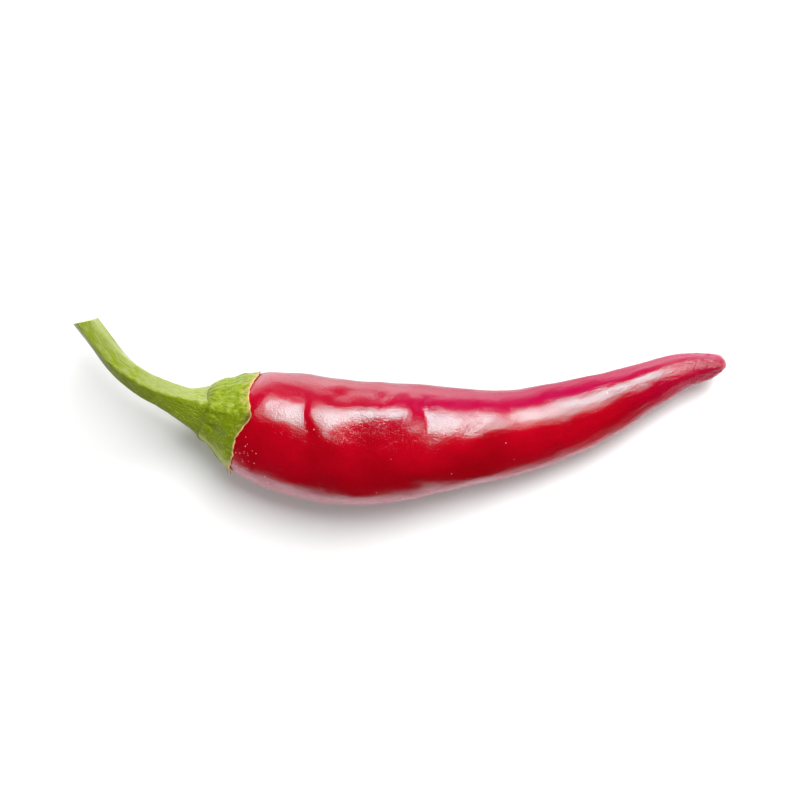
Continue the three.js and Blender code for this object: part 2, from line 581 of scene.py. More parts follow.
def grain_effect() -> Effect:
    """Fine grain: small rounded pimples mixed with wrinkled noise. Gives a height from 0 to 1."""
    effect = Effect("fine_grain", ("Grain", "Wrinkle"), "Height")
    sketch, inside = effect.sketch, effect.inside
    where = {"Vector": inside["Place"], "Scale": sketch.math("DIVIDE", 1.0, inside["Grain"])}
    cells = sketch.add("ShaderNodeTexVoronoi", {**where, "Smoothness": 0.6}, feature="SMOOTH_F1")
    pimples = sketch.math("SUBTRACT", 1.0, cells.outputs["Distance"])
    wrinkled = {**where, "Detail": 3.0, "Roughness": 0.6, "Distortion": 0.8}
    wrinkles = sketch.first("ShaderNodeTexNoise", wrinkled)
    effect.finish(sketch.first("ShaderNodeMix", {0: inside["Wrinkle"], 2: pimples, 3: wrinkles}))
    return effect


def mottle_effect() -> Effect:
    """Slow variation of a colour over a surface. Gives a share from 0 to 1."""
    middle, steepest = 0.5, 4.0
    effect = Effect("mottle", ("Size", "Contrast"), "Share")
    sketch, inside = effect.sketch, effect.inside
    where = {"Vector": inside["Place"], "Scale": sketch.math("DIVIDE", 1.0, inside["Size"])}
    noise = sketch.first("ShaderNodeTexNoise", {**where, "Detail": 4.0, "Roughness": 0.55})
    centred = sketch.math("SUBTRACT", noise, middle)
    steepness = sketch.math("MULTIPLY", inside["Contrast"], steepest)
    stretched = sketch.math("MULTIPLY_ADD", centred, steepness, middle)
    effect.finish(sketch.first("ShaderNodeClamp", {"Value": stretched}))
    return effect


def fleck_effect() -> Effect:
    """Sparse round flecks. Gives 1 in the middle of a fleck and 0 between them."""
    effect = Effect("flecks", ("Spacing", "Size", "Amount"), "Mask")
    sketch, inside = effect.sketch, effect.inside
    where = {"Vector": inside["Place"], "Scale": sketch.math("DIVIDE", 1.0, inside["Spacing"])}
    cells = sketch.add("ShaderNodeTexVoronoi", where).outputs
    reach = sketch.math("DIVIDE", inside["Size"], inside["Spacing"])
    near = sketch.math("SUBTRACT", 1.0, sketch.math("DIVIDE", cells["Distance"], reach))
    chance = sketch.first("ShaderNodeSeparateColor", {0: cells["Color"]})
    lucky = sketch.math("LESS_THAN", chance, inside["Amount"])
    effect.finish(sketch.math("MULTIPLY", sketch.math("MAXIMUM", near, 0.0), lucky))
    return effect


@dataclass
class Effects:
    """The shader node groups that the materials share.

    Args:
        grain: The fine grain.
        mottle: The slow variation.
        flecks: The sparse flecks.
    """

    grain: Effect = field(default_factory=grain_effect)
    mottle: Effect = field(default_factory=mottle_effect)
    flecks: Effect = field(default_factory=fleck_effect)


def new_material(name: str) -> tuple[bpy.types.Material, NodeSketch]:
    """Makes a material with an empty node tree, and a sketch to fill it."""
    material = bpy.data.materials.new(name)
    material.use_nodes = True
    return material, NodeSketch(material.node_tree)


def read_attribute(sketch: NodeSketch, name: str) -> Socket:
    """The number that a piece stores under a name."""
    return sketch.add("ShaderNodeAttribute", attribute_name=name).outputs["Fac"]


@dataclass(frozen=True)
class PodSkin:
    """The pod's finish: a waxy red skin with a fine pebbled grain.

    Args:
        red: The main colour.
        deep: The darker red of its patches, and of the painted shade on its side away from the lights.
        crimson: The cooler red near its tip, and a painted tint of the light on its side towards the
            lights.
        roughness: How rough the wax is between the grains.
        tip_roughness: The same at the tip.
        index: The wax's index of refraction.
        glint: The tint of what it mirrors face on.
        grain: The width of a grain, in mm.
        grain_height: How far the grains stand out, in mm.
    """

    red: Colour = (0.37, 0.0006, 0.0085, 1.0)
    deep: Colour = (0.24, 0.0006, 0.004, 1.0)
    crimson: Colour = (0.325, 0.001, 0.044, 1.0)
    roughness: float = 0.065
    tip_roughness: float = 0.15
    index: float = 1.38
    glint: Colour = (0.4, 1.0, 1.0, 1.0)
    grain: float = 0.28
    grain_height: float = 0.08

    def make(self, effects: Effects) -> bpy.types.Material:
        """Makes the material.

        Args:
            effects: The shared shader node groups.

        Returns:
            The material.
        """
        patch_share, shade_share, tip_grain = 0.7, 0.6, 2.0
        shade_span, tip_dulls, tip_coarsens = (-6.0, -15.0), (44.0, 53.0), (44.0, 54.0)
        material, sketch = new_material("pod_skin")
        place = metres_to_mm(sketch)
        side = sketch.add("ShaderNodeSeparateXYZ", {0: place}).outputs
        patches = effects.mottle.put(sketch, {"Place": place, "Size": 9.0, "Contrast": 0.9})
        # Painted shade: the side away from the lights (-Y) is darker.
        lower = sketch.ramp(side["Y"], shade_span)
        colour = sketch.blend(sketch.math("MULTIPLY", patches, patch_share), self.red, self.deep)
        colour = sketch.blend(sketch.math("MULTIPLY", lower, shade_share), colour, self.deep)
        # A painted tint of the light: cooler red on the side towards the lights, and the tip's own cooler
        # red.
        colour = sketch.blend(read_attribute(sketch, "lit_and_tip_tint"), colour, self.crimson)
        # Painted shade along the edge towards the lights, and darker patches.
        colour = sketch.blend(read_attribute(sketch, "shade"), colour, self.deep)
        grain = effects.grain.put(sketch, {"Place": place, "Grain": self.grain, "Wrinkle": 0.6})
        height = sketch.math("MULTIPLY", grain, sketch.ramp(side["X"], tip_coarsens, (1.0, tip_grain)))
        dull = sketch.ramp(side["X"], tip_dulls, (self.roughness, self.tip_roughness))
        sketch.surface(colour, dull, self.index, self.glint, sketch.bump(height, self.grain_height))
        return material


@dataclass(frozen=True)
class Greenery:
    """The finish of the calyx and the stem: satin green plant tissue with fibres and dried edges.

    The pieces store what it reads: "fibre", a place in a texture that follows the spine, and the shares
    "pale", "dry" and "brown". "pale" is painted sheen on faces towards the lights and painted
    reflections of the floor, and "brown" holds dead tips and painted shade in the calyx's crease.
    The stem also stores "cut".

    Args:
        name: The material's name.
        cut_point: The middle of the cut, in mm, or None where there is no cut.
        deep: The deep green.
        vivid: The green between the deep one and the pale one.
        light: The pale green of the painted sheen on faces towards the lights, and of the cut's rind.
        bloom: The colour of its bright flecks.
        dried: The colour of its dried edges.
        burnt_and_shade: The colour of its dead tips, and of the painted shade in the calyx's crease.
        pith: The colour of the cut's middle.
        vessels: The colour of the ring in the cut.
        roughness: How rough the surface is.
        index: Its index of refraction.
        glint: The tint of what it mirrors face on.
        fibre: The width of a fibre, in mm.
        relief: How far fibres and grain stand out, in mm.
    """

    name: str
    cut_point: Place | None = None
    deep: Colour = (0.12, 0.17, 0.0, 1.0)
    vivid: Colour = (0.21, 0.282, 0.01, 1.0)
    light: Colour = (0.29, 0.34, 0.1, 1.0)
    bloom: Colour = (0.6, 0.7, 0.3, 1.0)
    dried: Colour = (0.64, 0.4, 0.17, 1.0)
    burnt_and_shade: Colour = (0.09, 0.045, 0.012, 1.0)
    pith: Colour = (0.36, 0.43, 0.17, 1.0)
    vessels: Colour = (0.21, 0.29, 0.06, 1.0)
    roughness: float = 0.33
    index: float = 1.22
    glint: Colour = (1.0, 1.0, 0.45, 1.0)
    fibre: float = 0.32
    relief: float = 0.15

    def make(self, effects: Effects) -> bpy.types.Material:
        """Makes the material.

        Args:
            effects: The shared shader node groups.

        Returns:
            The material.
        """
        half, deepening, fleck_share, dry_fibre, dries, fibre_relief = 0.5, 0.54, 0.35, 0.3, 0.25, 0.6
        material, sketch = new_material(self.name)
        place = metres_to_mm(sketch)
        along = sketch.add("ShaderNodeAttribute", attribute_name="fibre").outputs["Vector"]
        streaks = effects.mottle.put(sketch, {"Place": along, "Size": self.fibre, "Contrast": 0.95})
        patches = effects.mottle.put(sketch, {"Place": place, "Size": 2.6, "Contrast": 0.6})
        mixed = sketch.math("MULTIPLY_ADD", sketch.math("ADD", streaks, patches), half, -deepening)
        # The stored pale share is painted sheen on faces towards the lights and painted reflections of the
        # floor.
        share = sketch.math("ADD", read_attribute(sketch, "pale"), mixed)
        colour = sketch.blend(sketch.ramp(share, (0.0, half)), self.deep, self.vivid)
        colour = sketch.blend(sketch.ramp(share, (half, 1.0)), colour, self.light)
        spots = {"Place": place, "Spacing": 0.36, "Size": 0.14, "Amount": 0.4}
        flecks = sketch.math("MULTIPLY", effects.flecks.put(sketch, spots), fleck_share)
        colour = sketch.blend(flecks, colour, self.bloom)
        edge = sketch.math("MULTIPLY_ADD", streaks, dry_fibre, read_attribute(sketch, "dry"))
        colour = sketch.blend(sketch.ramp(edge, (dries, 1.0)), colour, self.dried)
        # Dead tips, and painted shade in the calyx's crease.
        colour = sketch.blend(read_attribute(sketch, "tips_and_crease_shade"), colour, self.burnt_and_shade)
        if self.cut_point:
            colour = sketch.blend(read_attribute(sketch, "cut"), colour, self.inside(sketch, place))
        grain = effects.grain.put(sketch, {"Place": along, "Grain": 0.24, "Wrinkle": 0.8})
        height = sketch.math("ADD", sketch.math("MULTIPLY", streaks, fibre_relief), grain)
        sketch.surface(colour, self.roughness, self.index, self.glint, sketch.bump(height, self.relief))
        return material

    def inside(self, sketch: NodeSketch, place: Socket) -> Socket:
        """The colour of the cut: a pale pith with a ring of vessels round it.

        Args:
            sketch: The material's sketch.
            place: Places in mm.

        Returns:
            The colour.
        """
        ring, ring_width, rind, middle = 1.3, 0.55, (1.75, 2.25), 0.5
        straight = sketch.length(sketch.vector("SUBTRACT", place, self.cut_point))
        texture = {"Vector": place, "Scale": 3.5, "Detail": 3.0}
        speckle = sketch.math("SUBTRACT", sketch.first("ShaderNodeTexNoise", texture), middle)
        out = sketch.math("ADD", straight, speckle)
        off_ring = sketch.math("ABSOLUTE", sketch.math("SUBTRACT", out, ring))
        colour = sketch.blend(sketch.ramp(off_ring, (ring_width, 0.0)), self.pith, self.vessels)
        return sketch.blend(sketch.ramp(out, rind), colour, self.light)


# --- The pod ---


@dataclass
class Pod:
    """The red fruit.

    Args:
        spine: The curve that it follows.
        half_width: Places on the spine and the half width there, in mm, before the ends are rounded.
        shoulder: Where it starts, under the calyx.
        tip: Where it ends.
        shoulder_dome: How long its rounded start is.
        tip_dome: How long its rounded tip is.
        height_share: Places on the spine, and its height there as a share of its width.
        swellings: Its bumps and dents.
        wander: How far the swellings' outlines stray along the spine.
        ripples: Its slight unevenness, from coarse to fine.
        tip_wrinkles: The wrinkles round its tip.
        shades: Painted shade along its edge towards the lights, and darker patches, as shares from 0 to 1.
        rings: How many rings of vertices it has.
        sides: How many vertices a ring has.
    """

    spine: Spine
    half_width: Rows = (
        (-36.0, 5.25), (-34.0, 6.0), (-32.0, 7.45), (-30.0, 8.75), (-28.0, 9.7), (-25.0, 10.45),
        (-20.0, 11.25), (-12.0, 11.45), (-4.0, 11.15), (4.0, 10.35), (12.0, 9.05), (20.0, 7.95),
        (28.0, 7.15), (36.0, 6.15), (44.0, 4.65), (52.0, 3.3), (61.0, 1.6),
    )
    shoulder: float = -36.0
    tip: float = 60.06
    shoulder_dome: float = 4.0
    tip_dome: float = 1.6
    height_share: Rows = (
        (-38.0, 1.0), (-30.0, 0.88), (-20.0, 0.86), (2.0, 0.86), (12.0, 0.885), (22.0, 0.865),
        (36.0, 0.86), (50.0, 0.92), (61.0, 0.96),
    )
    swellings: tuple[Swelling, ...] = (
        Swelling(-27.0, 26.0, 2.8, 42.0, 0.62, after=4.6),
        Swelling(-22.3, 22.0, 2.6, 20.0, -0.2),
        Swelling(-18.7, 24.0, 3.2, 34.0, -0.45, lean=-0.04, after=1.15),
        Swelling(-14.0, -3.0, 1.8, 14.0, 0.35),
        Swelling(-11.8, 50.0, 2.2, 12.0, -0.35),
        Swelling(-8.3, 33.0, 1.1, 14.0, -0.12),
        Swelling(-3.8, 44.0, 0.9, 9.0, -0.2),
        Swelling(-4.5, 30.0, 7.0, 16.0, 0.6),
        Swelling(-3.5, -4.0, 7.0, 30.0, -0.85),
        Swelling(3.7, 30.0, 2.1, 45.0, -0.62, after=7.0),
        Swelling(3.6, 30.0, 0.5, 25.0, -0.15),
        Swelling(11.5, -10.0, 5.0, 22.0, 0.4),
        Swelling(-24.0, 68.0, 3.5, 16.0, 0.3),
        Swelling(-13.5, 62.0, 3.0, 14.0, 0.35),
        Swelling(-6.0, 68.0, 3.0, 12.0, 0.3),
        Swelling(0.5, 58.0, 2.2, 14.0, 0.4),
        Swelling(-27.0, -55.0, 3.0, 15.0, 0.35),
        Swelling(-19.0, -53.0, 3.2, 14.0, 0.4),
        Swelling(-10.0, -58.0, 4.0, 12.0, 0.3),
        Swelling(3.5, -37.0, 3.5, 16.0, 0.65),
        Swelling(12.0, -55.0, 4.0, 12.0, 0.25),
        Swelling(-25.5, 0.0, 4.0, 25.0, 0.15),
        Swelling(-12.5, 5.0, 6.0, 25.0, 0.3),
        Swelling(19.0, 0.0, 7.0, 34.0, 0.42),
        Swelling(34.0, 0.0, 9.0, 36.0, 0.15),
        Swelling(48.0, 0.0, 9.0, 38.0, 0.42),
        Swelling(59.8, -95.0, 2.0, 60.0, -0.8),
        Swelling(58.9, -75.0, 0.35, 40.0, -0.3),
    )
    wander: Ripple = Ripple(seed=41, wavelength=4.5, height=0.42)
    ripples: tuple[Ripple, ...] = (
        Ripple(seed=11, wavelength=11.0, height=0.09),
        Ripple(seed=23, wavelength=2.6, height=0.014),
        Ripple(seed=29, wavelength=1.3, height=0.005),
    )
    tip_wrinkles: Ripple = Ripple(seed=37, wavelength=1.5, height=0.045, girth=24.0)
    shades: tuple[Swelling, ...] = (
        Swelling(-20.0, 88.0, 45.0, 38.0, 0.75),
        Swelling(9.5, -42.0, 8.0, 26.0, 0.75),
        Swelling(-14.0, -58.0, 5.0, 12.0, 0.5),
    )
    rings: int = 440
    sides: int = 208

    def radius(self, x: np.ndarray, angle: np.ndarray) -> np.ndarray:
        """The pod's radius.

        Args:
            x: Places on the spine.
            angle: Angles round it, in degrees.

        Returns:
            Distances from the spine, in mm.
        """
        lobe_count, lobe, lobe_turn = 3.0, 0.012, 20.0
        shoulder = np.clip((self.shoulder + self.shoulder_dome - x) / self.shoulder_dome, 0.0, 1.0)
        tip = np.clip((x - self.tip + self.tip_dome) / self.tip_dome, 0.0, 1.0)
        domes = np.sqrt((1.0 - shoulder**2) * (1.0 - tip**2))
        lobes = 1.0 + lobe * np.cos(np.radians(lobe_count * (angle - lobe_turn)))
        wander = self.wander.at(x, angle) * smoothstep(54.0, 44.0, wrap_degrees(angle))
        relief = sum(swelling.at(x + wander, angle) for swelling in self.swellings)
        for ripple in self.ripples:
            relief += ripple.at(x, angle)
        relief += self.tip_wrinkles.at(x, angle) * smoothstep(50.0, 55.0, x)
        return (SmoothRows(self.half_width).at(x)[..., 0] * lobes + relief) * domes

    def surface(self, x: np.ndarray, angle: np.ndarray, radius: np.ndarray) -> np.ndarray:
        """Points round the spine, in mm, flattened as the pod is."""
        return self.spine.surface(x, angle, radius, SmoothRows(self.height_share).at(x))

    def places(self) -> tuple[np.ndarray, np.ndarray]:
        """The places on the spine and the angles of the skin's vertices, ring by ring."""
        share = (1.0 - np.cos(np.pi * (np.arange(self.rings) + 1.0) / (self.rings + 1.0))) / 2.0
        x = self.shoulder + (self.tip - self.shoulder) * share
        return tuple(np.meshgrid(x, even_turns(self.sides), indexing="ij"))

    def build(self) -> bpy.types.Object:
        """Builds the pod's mesh, with what its material reads."""
        x, angle = self.places()
        points = self.surface(x, angle, self.radius(x, angle))
        piece = make_object("pod_skin", *closed_skin(points, self.spine, self.shoulder, self.tip))
        x, angle = with_poles(x, self.shoulder, self.tip), with_poles(angle)
        # Painted light and shade for the skin: the cooler tint and the shade that its material reads.
        store_attribute(piece, "lit_and_tip_tint", self.lit_and_tip_tint(x, wrap_degrees(angle)))
        store_attribute(piece, "shade", sum(patch.at(x, angle) for patch in self.shades))
        return piece

    @staticmethod
    def lit_and_tip_tint(x: np.ndarray, angle: np.ndarray) -> np.ndarray:
        """How much of the cooler red there is: a painted tint of the light, and the tip's own colour.

        Args:
            x: Places on the spine.
            angle: Angles round it, in degrees from -180 to 180.

        Returns:
            Shares from 0 to 1. They grow towards the side that faces the lights, and along the pod.
        """
        at_calyx, grows, at_tip = 0.35, 0.6, 0.4
        # A painted tint of the light on the side towards the lights.
        lit_side = smoothstep(2.0, 50.0, angle) * (at_calyx + grows * smoothstep(-12.0, 10.0, x))
        return np.maximum(lit_side, at_tip * smoothstep(36.0, 54.0, x))


def grow(
    source: bpy.types.Object, tree: bpy.types.NodeTree, inputs: dict[str, Any], name: str
) -> bpy.types.Object:
    """Runs a geometry tree on an object, and keeps the result as a plain mesh object in its place.

    Args:
        source: What the tree works on. It is removed.
        tree: The tree.
        inputs: Values for the tree's inputs, by name.
        name: The new object's name.

    Returns:
        The new object, linked to the scene.
    """
    modifier = source.modifiers.new(tree.name, "NODES")
    modifier.node_group = tree
    for item in tree.interface.items_tree:
        if item.item_type == "SOCKET" and item.in_out == "INPUT" and item.name in inputs:
            modifier[item.identifier] = inputs[item.name]
    depsgraph = bpy.context.evaluated_depsgraph_get()
    mesh = bpy.data.meshes.new_from_object(source.evaluated_get(depsgraph), depsgraph=depsgraph)
    bpy.data.objects.remove(source)
    mesh.name = name
    return add_object(name, mesh)


@dataclass(frozen=True)
class Specks:
    """Tiny pale specks that are scattered over the pod, most of them beside the calyx.

    Args:
        colour: Their colour.
        x: The middle of the cluster along the spine, in mm.
        angle: The middle of the cluster round the spine, in degrees.
        length: The cluster's half length, in mm.
        width: The cluster's half width, in degrees.
        crowd: How many specks a square millimetre has in the middle of the cluster.
        strays: How many it has elsewhere.
        size: A speck's radius, in mm, before each one's size is drawn.
        seed: Fixes where they are.
    """

    colour: Colour = (0.7, 0.22, 0.22, 1.0)
    x: float = -28.2
    angle: float = -36.0
    length: float = 2.6
    width: float = 22.0
    crowd: float = 1.3
    strays: float = 0.006
    size: float = 0.11
    seed: int = 4

    def tree(self) -> bpy.types.NodeTree:
        """The node tree that scatters the specks over a skin."""
        inputs = {"Skin": Kind.GEOMETRY, "Seed": Kind.INTEGER, "Material": Kind.MATERIAL}
        inputs |= {label: Kind.FLOAT for label in ("Radius", "Smallest", "Largest", "Flatness")}
        outputs = {"Specks": Kind.GEOMETRY}
        sketch = GeometrySketch(new_group("pod_specks", "GeometryNodeTree", inputs, outputs))
        inside = sketch.add("NodeGroupInput").outputs
        density = sketch.stored("speck_density")
        skin = {"Mesh": inside["Skin"], "Density": density, "Seed": inside["Seed"]}
        spread = sketch.add("GeometryNodeDistributePointsOnFaces", skin, distribute_method="RANDOM").outputs
        ball = {"Radius": inside["Radius"], "Subdivisions": 2}
        bead = sketch.add("GeometryNodeMeshIcoSphere", ball).outputs["Mesh"]
        draw = {2: inside["Smallest"], 3: inside["Largest"], "Seed": inside["Seed"]}
        share = sketch.add("FunctionNodeRandomValue", draw, data_type="FLOAT").outputs[1]
        scattered = {
            "Points": spread["Points"],
            "Instance": bead,
            "Rotation": spread["Rotation"],
            "Scale": sketch.combine(share, share, inside["Flatness"]),
        }
        placed = sketch.first("GeometryNodeInstanceOnPoints", scattered)
        sketch.deliver(placed, inside["Material"])
        return sketch.tree

    def material(self) -> bpy.types.Material:
        """Makes the specks' material."""
        material, sketch = new_material("pod_specks")
        sketch.surface(self.colour, roughness=0.4)
        return material

    def build(self, pod: Pod) -> bpy.types.Object:
        """Builds the specks.

        Args:
            pod: The pod that they lie on.

        Returns:
            The specks, as one object.
        """
        skin = pod.build()
        x, angle = pod.places()
        cluster = bell((x - self.x) / self.length) * bell(wrap_degrees(angle - self.angle) / self.width)
        open_skin = smoothstep(-29.5, -28.5, x) * smoothstep(56.0, 50.0, x)
        density = (self.crowd * cluster + self.strays) * open_skin / MM**2
        store_attribute(skin, "speck_density", with_poles(density))
        inputs = {
            "Seed": self.seed,
            "Radius": self.size * MM,
            "Smallest": 0.55,
            "Largest": 1.15,
            "Flatness": 0.35,
            "Material": self.material(),
        }
        return grow(skin, self.tree(), inputs, "pod_specks")


# --- The calyx ---


@dataclass
class Calyx:
    """The green cap on the pod's shoulder, from its neck to its toothed rim.

    Args:
        spine: The curve that it follows.
        pod: The pod that it sits on.
        outline: Places on the spine, and the outer radius there towards +Y and towards -Y, in mm.
        rim: Angles in degrees, and where the rim is there along the spine, in mm.
        notches: The rim's small waves: each one's height in mm, number, and turn in degrees.
        teeth: Each tooth's angle in degrees, how far its tip is lifted off the pod in mm, and its half
            width in degrees.
        gap: How far its inside is from the pod, in mm.
        edge: How thick its rim is, in mm.
        swellings: Its bumps and dents.
        bends: How the ridges wander along the spine: each wave's degrees, radians for each mm, and start.
        ridges: Its fine ridges: their number, height in mm, and share of the bends.
        ripples: Its unevenness.
        outer_rings: How many rings of vertices its outside has.
        edge_rings: How many rings go round its rim's edge.
        inner_rings: How many rings its inside has.
        sides: How many vertices a ring has.
    """

    spine: Spine
    pod: Pod
    outline: Rows = (
        (-37.5, 3.3, 4.2), (-37.2, 3.75, 4.8), (-36.8, 4.3, 5.25), (-36.2, 5.1, 5.55), (-35.4, 5.85, 5.8),
        (-34.6, 6.4, 6.05), (-33.6, 7.1, 6.6), (-32.4, 8.0, 7.55), (-31.2, 8.65, 8.45), (-30.0, 9.1, 9.1),
    )
    rim: Rows = (
        (-170.0, -30.0), (-142.0, -28.6), (-122.0, -29.8), (-104.0, -29.7), (-88.0, -29.2),
        (-74.0, -29.5), (-60.0, -29.5), (-46.0, -29.45), (-34.0, -29.6), (-23.0, -29.7),
        (-13.0, -29.4), (-5.0, -28.85), (3.0, -28.35), (7.5, -28.05), (14.0, -28.5),
        (23.0, -29.2), (32.0, -29.7), (40.0, -29.9), (48.0, -29.85), (56.0, -29.7),
        (68.0, -29.3), (78.0, -29.2), (86.0, -29.1), (94.0, -29.3), (106.0, -29.6),
        (128.0, -30.0), (144.0, -29.2), (152.0, -28.6), (162.0, -29.4),
    )
    notches: Rows = ((0.06, 23.0, 0.0), (0.05, 41.0, 50.0))
    teeth: Rows = (
        (-142.0, 0.4, 9.0), (-88.0, 0.55, 9.0), (6.0, 0.3, 6.0), (84.0, 0.12, 9.0), (152.0, 0.4, 9.0),
    )
    gap: float = 0.06
    edge: float = 0.3
    swellings: tuple[Swelling, ...] = (
        Swelling(-35.3, 78.0, 1.0, 26.0, 0.3),
        Swelling(-34.6, 28.0, 2.0, 10.0, -0.3, lean=0.03),
        Swelling(-34.2, -30.0, 1.6, 14.0, -0.35),
        Swelling(-33.2, -50.0, 3.2, 13.0, 0.4),
        Swelling(-32.6, -8.0, 1.6, 12.0, 0.2),
        Swelling(-31.8, 50.0, 1.2, 14.0, 0.15),
    )
    bends: Rows = ((14.0, 1.3, 0.0), (9.0, 2.9, 1.0))
    ridges: Rows = ((17.0, 0.06, 1.4), (31.0, 0.04, -1.0))
    ripples: tuple[Ripple, ...] = (
        Ripple(seed=5, wavelength=2.2, height=0.06, girth=50.0),
        Ripple(seed=9, wavelength=1.0, height=0.022, girth=50.0),
    )
    outer_rings: int = 84
    edge_rings: int = 6
    inner_rings: int = 20
    sides: int = 360

    @property
    def neck(self) -> float:
        """Where the calyx starts, on the stem's side."""
        return self.outline[0][0]

    def rim_at(self, angle: np.ndarray) -> np.ndarray:
        """Where the rim is along the spine at angles, with its small notches."""
        waves = [high * np.sin(np.radians(count * angle + turn)) for high, count, turn in self.notches]
        return SmoothRows(self.rim, period=360.0).at(angle)[..., 0] + sum(waves)

    def tooth_share(self, angle: np.ndarray) -> np.ndarray:
        """How close angles are to a tooth's middle, from 0 to 1."""
        shares = [bell(wrap_degrees(angle - middle) / half) for middle, _, half in self.teeth]
        return np.max(shares, axis=0)

    def lift(self, angle: np.ndarray) -> np.ndarray:
        """How far the rim is lifted off the pod at angles, in mm."""
        lifts = [height * bell(wrap_degrees(angle - middle) / half) for middle, height, half in self.teeth]
        return np.sum(lifts, axis=0)

    def inside(self, x: np.ndarray, angle: np.ndarray) -> np.ndarray:
        """The inner radius at places x and angles."""
        near_rim = smoothstep(2.0, 0.0, self.rim_at(angle) - x)
        return self.pod.radius(x, angle) + self.gap + self.lift(angle) * near_rim**2

    def outside(self, x: np.ndarray, angle: np.ndarray) -> np.ndarray:
        """The outer radius.

        Args:
            x: Places on the spine.
            angle: Angles round it, in degrees.

        Returns:
            Distances from the spine, in mm.
        """
        rib = 0.16
        sides = SmoothRows(self.outline).at(x)
        near, far = sides[..., 0], sides[..., 1]
        smooth = (near + far) / 2 + (near - far) / 2 * np.sin(np.radians(angle))
        share = np.clip((x - self.neck) / (self.rim_at(angle) - self.neck), 0.0, 1.0)
        relief = sum(swelling.at(x, angle) for swelling in self.swellings)
        relief += rib * self.tooth_share(angle) * smoothstep(0.1, 0.6, share)
        bend = sum(degrees * np.sin(x * rate + start) for degrees, rate, start in self.bends)
        for count, height, bent in self.ridges:
            relief += height * np.sin(np.radians(count * angle + bent * bend))
        for ripple in self.ripples:
            relief += ripple.at(x, angle)
        away_from_neck = smoothstep(0.0, 0.12, share)
        return np.maximum(smooth + away_from_neck * relief, self.inside(x, angle) + self.edge)

    def build(self) -> bpy.types.Object:
        """Builds the calyx's mesh, with what its material reads."""
        crown_step = 0.3
        crown = self.pod.shoulder - crown_step
        angle = even_turns(self.sides) - 180.0
        x, radius = self.section(angle, crown)
        turns = np.broadcast_to(angle, x.shape)
        points = self.pod.surface(x, turns, radius)
        piece = make_object("calyx_flesh", *closed_skin(points, self.spine, self.neck, crown))
        x, turns = with_poles(x, self.neck, crown), with_poles(turns)
        store_attribute(piece, "fibre", fibre_places(x, turns))
        # The tints include painted sheen, painted reflections of the floor and painted shade.
        for name, share in self.tints(x, turns).items():
            store_attribute(piece, name, share)
        return piece

    def section(self, angle: np.ndarray, crown: float) -> tuple[np.ndarray, np.ndarray]:
        """The rings of the outside up to the rim, round the rim's edge, and back over the inside.

        Args:
            angle: The angles of a ring's vertices, in degrees.
            crown: Where on the spine the hollow starts.

        Returns:
            Places on the spine and radii, ring by ring.
        """
        crowding, bluntness, last_share = 0.45, 0.8, 0.04
        rim = self.rim_at(angle)
        steps = np.linspace(0.0, 1.0, self.outer_rings)[:, None]
        outer_x = self.neck + (rim - self.neck) * steps * (1.0 + crowding - crowding * steps)
        turn = np.linspace(0.0, np.pi, self.edge_rings + 2)[1:-1, None]
        low = self.inside(rim, angle)
        half = (self.outside(rim, angle) - low) / 2
        edge_x = rim + half * np.sin(turn) * bluntness
        edge_radius = low + half + half * np.cos(turn)
        inner_x = crown + (rim - crown) * np.linspace(1.0, last_share, self.inner_rings)[:, None]
        radius = [self.outside(outer_x, angle), edge_radius, self.inside(inner_x, angle)]
        return np.vstack([outer_x, edge_x, inner_x]), np.vstack(radius)

    def tints(self, x: np.ndarray, angle: np.ndarray) -> dict[str, np.ndarray]:
        """How pale the calyx is with painted sheen and painted reflections of the floor, how dried it is,
        and how dark: its dead tips, and painted shade in its crease.

        Args:
            x: Places on the spine.
            angle: Angles round it, in degrees.

        Returns:
            The shares by name, from 0 to 1.
        """
        lit_side_share, facet_share, floor_reflection_share = 0.4, 0.8, 0.45
        facet_middle, facet_width, band_share, band_stray = -66.0, 14.0, 0.38, 0.05
        tip_share, crease_share, crease_x, crease_width = 0.85, 0.4, -37.15, 0.6
        margin_least, crease_least = 0.45, 0.6
        from_rim = self.rim_at(angle) - x
        wander = Ripple(seed=31, wavelength=2.2, height=5.0, girth=50.0).at(x, angle)
        patchy = smoothstep(-4.0, 4.0, wander)
        # Painted sheen: paler on the side towards the lights.
        lit_side = lit_side_share * smoothstep(2.0, 18.0, angle + wander) * smoothstep(140.0, 100.0, angle)
        # A painted reflection of the floor on the flat face that leans away from the lights.
        facet = facet_share * bell((angle - facet_middle) / facet_width)
        # A painted reflection of the floor on the underside.
        floor_reflection = floor_reflection_share * smoothstep(100.0, 140.0, np.abs(angle))
        pale = np.maximum(np.maximum(lit_side, facet), floor_reflection) * smoothstep(-37.6, -36.7, x)
        margin = smoothstep(0.3, -0.05, from_rim) * (margin_least + (1.0 - margin_least) * patchy)
        yellowed = band_share * smoothstep(2.0, 0.3, from_rim + band_stray * wander)
        yellowed *= smoothstep(-50.0, 25.0, angle) * smoothstep(120.0, 95.0, angle)
        tips = self.tooth_share(angle) * smoothstep(1.4, 0.3, from_rim) * smoothstep(-0.1, 0.2, from_rim)
        # Painted shade in the crease at the neck. The tooth tips are dead.
        crease = bell((x - crease_x) / crease_width) * (crease_least + (1.0 - crease_least) * patchy)
        tips_and_crease_shade = np.maximum(tip_share * tips, crease_share * crease)
        return {"pale": pale, "dry": np.maximum(margin, yellowed), "tips_and_crease_shade": tips_and_crease_shade}


# --- The stem ---


